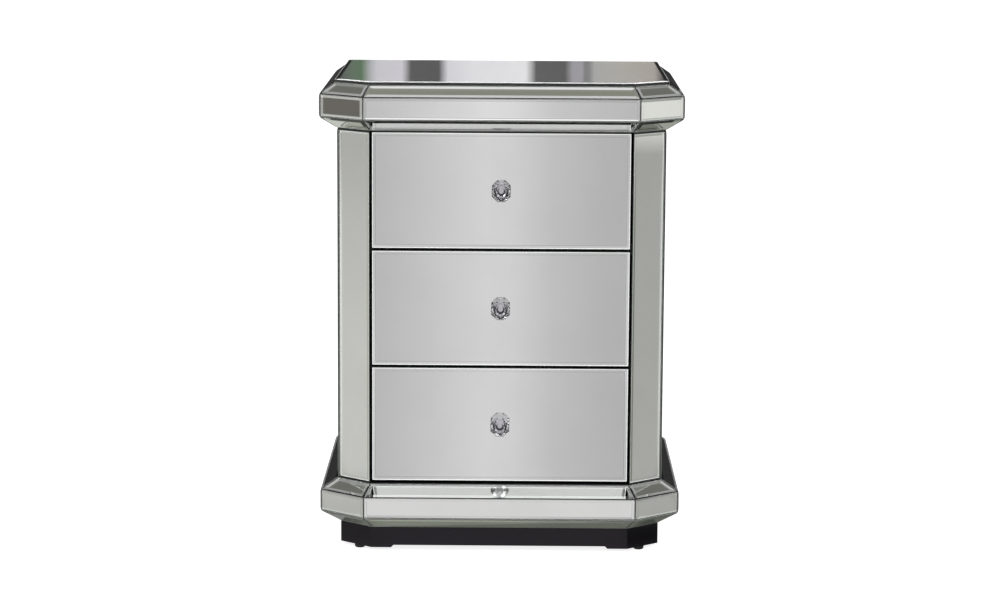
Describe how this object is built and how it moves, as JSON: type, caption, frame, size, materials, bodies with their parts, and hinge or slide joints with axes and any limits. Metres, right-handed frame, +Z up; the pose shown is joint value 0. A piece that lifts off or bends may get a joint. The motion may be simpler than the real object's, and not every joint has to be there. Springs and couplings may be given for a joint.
{
  "type": "nightstand",
  "caption": "Bedside chest of drawers faced all over in bevelled mirror plates, with cut corners, moulded top and base, crystal knobs and a dark plinth.",
  "frame": {"origin": "on the floor under the middle of the chest's bounding box", "axes": "+Z up, the drawer fronts face -Y, +X to the right seen from the front"},
  "size_m": [0.584, 0.45, 0.764],
  "materials": {
    "mirror_plate": "silvered, ground bevels",
    "black_board": "black satin paint on board",
    "drawer_board": "black satin laminate on board",
    "drawer_wood": "clear-lacquered birch plywood",
    "raw_board": "bare fibreboard",
    "slide_steel": "zinc plated",
    "knob_chrome": "polished",
    "knob_crystal": "clear, cut and polished",
    "glide_plastic": "moulded"
  },
  "bodies": {
    "case": {"top_mirror": "mirror_plate", "top_slope_mirrors": "mirror_plate", "top_band_mirrors": "mirror_plate", "top_under_mirrors": "mirror_plate", "top_core_front": "black_board", "top_core_corners": "black_board", "top_core_sides": "black_board", "top_board": "raw_board", "pilaster_mirror_left": "mirror_plate", "pilaster_mirror_right": "mirror_plate", "side_mirror_left": "mirror_plate", "side_mirror_right": "mirror_plate", "corner_posts": "black_board", "side_panels": "black_board", "back_panel": "raw_board", "drawer_rails": "black_board", "slide_battens": "raw_board", "case_channels": "slide_steel", "base_slope_mirrors": "mirror_plate", "base_band_mirrors": "mirror_plate", "base_under_mirrors": "mirror_plate", "base_core_front": "black_board", "base_core_corners": "black_board", "base_core_sides": "black_board", "case_floor": "black_board", "plinth_front_board": "black_board", "plinth_corner_boards": "black_board", "plinth_side_boards": "black_board", "plinth_back_board": "black_board", "glides": "glide_plastic"},
    "drawer_1": {"drawer_mirror_1": "mirror_plate", "drawer_front_board_1": "drawer_board", "drawer_sides_1": "drawer_wood", "drawer_back_1": "drawer_wood", "drawer_bottom_1": "raw_board", "drawer_channels_1": "slide_steel", "knob_rose_1": "knob_chrome", "knob_screw_1": "knob_chrome", "knob_crystal_1": "knob_crystal"},
    "middle_slides_1": {"middle_channels_1": "slide_steel"},
    "drawer_2": {"drawer_mirror_2": "mirror_plate", "drawer_front_board_2": "drawer_board", "drawer_sides_2": "drawer_wood", "drawer_back_2": "drawer_wood", "drawer_bottom_2": "raw_board", "drawer_channels_2": "slide_steel", "knob_rose_2": "knob_chrome", "knob_screw_2": "knob_chrome", "knob_crystal_2": "knob_crystal"},
    "middle_slides_2": {"middle_channels_2": "slide_steel"},
    "drawer_3": {"drawer_mirror_3": "mirror_plate", "drawer_front_board_3": "drawer_board", "drawer_sides_3": "drawer_wood", "drawer_back_3": "drawer_wood", "drawer_bottom_3": "raw_board", "drawer_channels_3": "slide_steel", "knob_rose_3": "knob_chrome", "knob_screw_3": "knob_chrome", "knob_crystal_3": "knob_crystal"},
    "middle_slides_3": {"middle_channels_3": "slide_steel"}
  },
  "joints": [
    {"name": "drawer_1_slide", "type": "slide", "parent": "case", "child": "drawer_1", "axis": [0, -1, 0], "range_m": [0, 0.35]},
    {"name": "middle_1_slide", "type": "slide", "parent": "case", "child": "middle_slides_1", "axis": [0, -1, 0], "range_m": [0, 0.175]},
    {"name": "drawer_2_slide", "type": "slide", "parent": "case", "child": "drawer_2", "axis": [0, -1, 0], "range_m": [0, 0.35]},
    {"name": "middle_2_slide", "type": "slide", "parent": "case", "child": "middle_slides_2", "axis": [0, -1, 0], "range_m": [0, 0.175]},
    {"name": "drawer_3_slide", "type": "slide", "parent": "case", "child": "drawer_3", "axis": [0, -1, 0], "range_m": [0, 0.35]},
    {"name": "middle_3_slide", "type": "slide", "parent": "case", "child": "middle_slides_3", "axis": [0, -1, 0], "range_m": [0, 0.175]}
  ],
  "couplings": [
    {"joint": "middle_1_slide", "follows": "drawer_1_slide", "ratio": 0.5},
    {"joint": "middle_2_slide", "follows": "drawer_2_slide", "ratio": 0.5},
    {"joint": "middle_3_slide", "follows": "drawer_3_slide", "ratio": 0.5}
  ]
}
